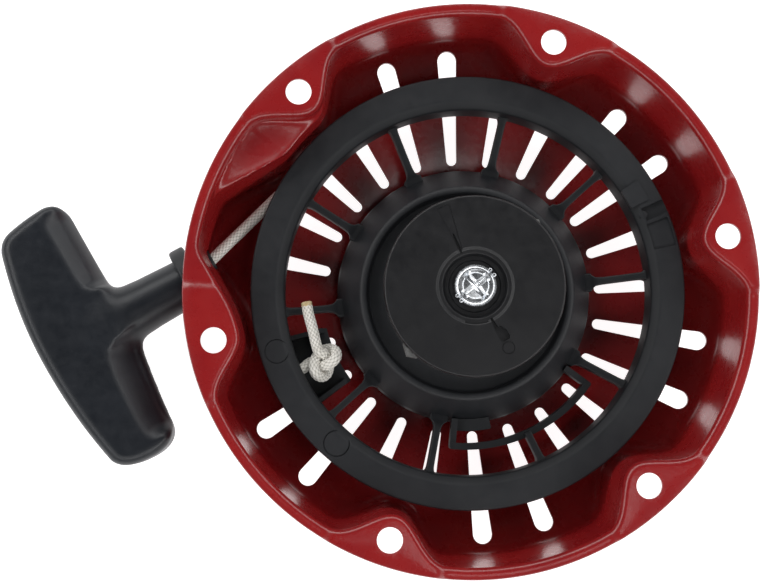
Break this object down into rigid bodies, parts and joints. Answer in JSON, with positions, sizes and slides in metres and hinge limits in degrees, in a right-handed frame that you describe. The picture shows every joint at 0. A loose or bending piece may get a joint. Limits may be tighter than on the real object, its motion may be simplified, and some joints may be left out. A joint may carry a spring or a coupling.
{
  "type": "recoil starter",
  "caption": "Recoil starter for a small engine: a red pressed bowl with bolt lobes, a spoked black reel with rope, a guide disc and a T-shaped pull handle.",
  "frame": {"origin": "middle of the bowl's flat outer back, on the reel's axis", "axes": "+Z along the reel's axis towards the open side that bolts to the engine, +Y such that the first bolt hole is 11.6 degrees from +X and the handle points to 209 degrees"},
  "size_m": [0.2809, 0.2124, 0.0612],
  "materials": {
    "red_paint": "gloss, fine orange peel",
    "black_plastic": "satin moulded",
    "disc_plastic": "satin moulded",
    "grip_plastic": "satin, fine grain",
    "rope_braid": "braided polyester",
    "zinc_steel": "bright zinc plated",
    "spring_steel": "dark oiled steel"
  },
  "bodies": {
    "base": {"housing": "red_paint", "center_post": "zinc_steel", "set_screw": "zinc_steel", "rope_guide": "black_plastic", "rope_run": "rope_braid"},
    "reel_body": {"reel_hub": "black_plastic", "reel_drum": "black_plastic", "reel_ring_1": "black_plastic", "reel_ring_2": "black_plastic", "reel_ring_3": "black_plastic", "reel_ring_4": "black_plastic", "reel_ring_5": "black_plastic", "reel_rib": "black_plastic", "knot_pocket": "black_plastic", "spoke_1": "black_plastic", "spoke_2": "black_plastic", "spoke_3": "black_plastic", "spoke_4": "black_plastic", "spoke_5": "black_plastic", "spoke_6": "black_plastic", "spoke_7": "black_plastic", "spoke_8": "black_plastic", "spoke_10": "black_plastic", "recoil_spring": "spring_steel", "rope_coil": "rope_braid", "rope_inner": "rope_braid", "rope_knot": "rope_braid", "rope_tail": "rope_braid"},
    "guide_body": {"ratchet_guide": "disc_plastic", "friction_spring": "spring_steel"},
    "ratchet_1_body": {"ratchet_1": "spring_steel", "ratchet_spring_1": "spring_steel"},
    "ratchet_2_body": {"ratchet_2": "spring_steel", "ratchet_spring_2": "spring_steel"},
    "handle_body": {"handle_grip": "grip_plastic", "handle_retainer": "zinc_steel", "handle_rope_knot": "rope_braid", "rope_lead": "rope_braid"}
  },
  "joints": [
    {"name": "reel_spin", "type": "hinge", "parent": "base", "child": "reel_body", "pos_m": [0, 0, 0.03], "axis": [0, 0, 1], "range_deg": [0, 748], "stiffness_Nm_per_rad": 0.02},
    {"name": "handle_pull", "type": "slide", "parent": "base", "child": "handle_body", "axis": [-0.8746, -0.4848, 0], "range_m": [0, 1]},
    {"name": "guide_turn", "type": "hinge", "parent": "reel_body", "child": "guide_body", "pos_m": [0, 0, 0.056], "axis": [0, 0, 1], "range_deg": [-30, 0]},
    {"name": "ratchet_1_swing", "type": "hinge", "parent": "reel_body", "child": "ratchet_1_body", "pos_m": [-0.02073, -0.00336, 0.048], "axis": [0, 0, 1], "range_deg": [-30, 0]},
    {"name": "ratchet_2_swing", "type": "hinge", "parent": "reel_body", "child": "ratchet_2_body", "pos_m": [0.02073, 0.00336, 0.048], "axis": [0, 0, 1], "range_deg": [-30, 0]}
  ],
  "couplings": [
    {"joint": "handle_pull", "follows": "reel_spin", "m_per_rad": 0.0765},
    {"joint": "ratchet_1_swing", "follows": "guide_turn", "ratio": 1},
    {"joint": "ratchet_2_swing", "follows": "guide_turn", "ratio": 1}
  ]
}
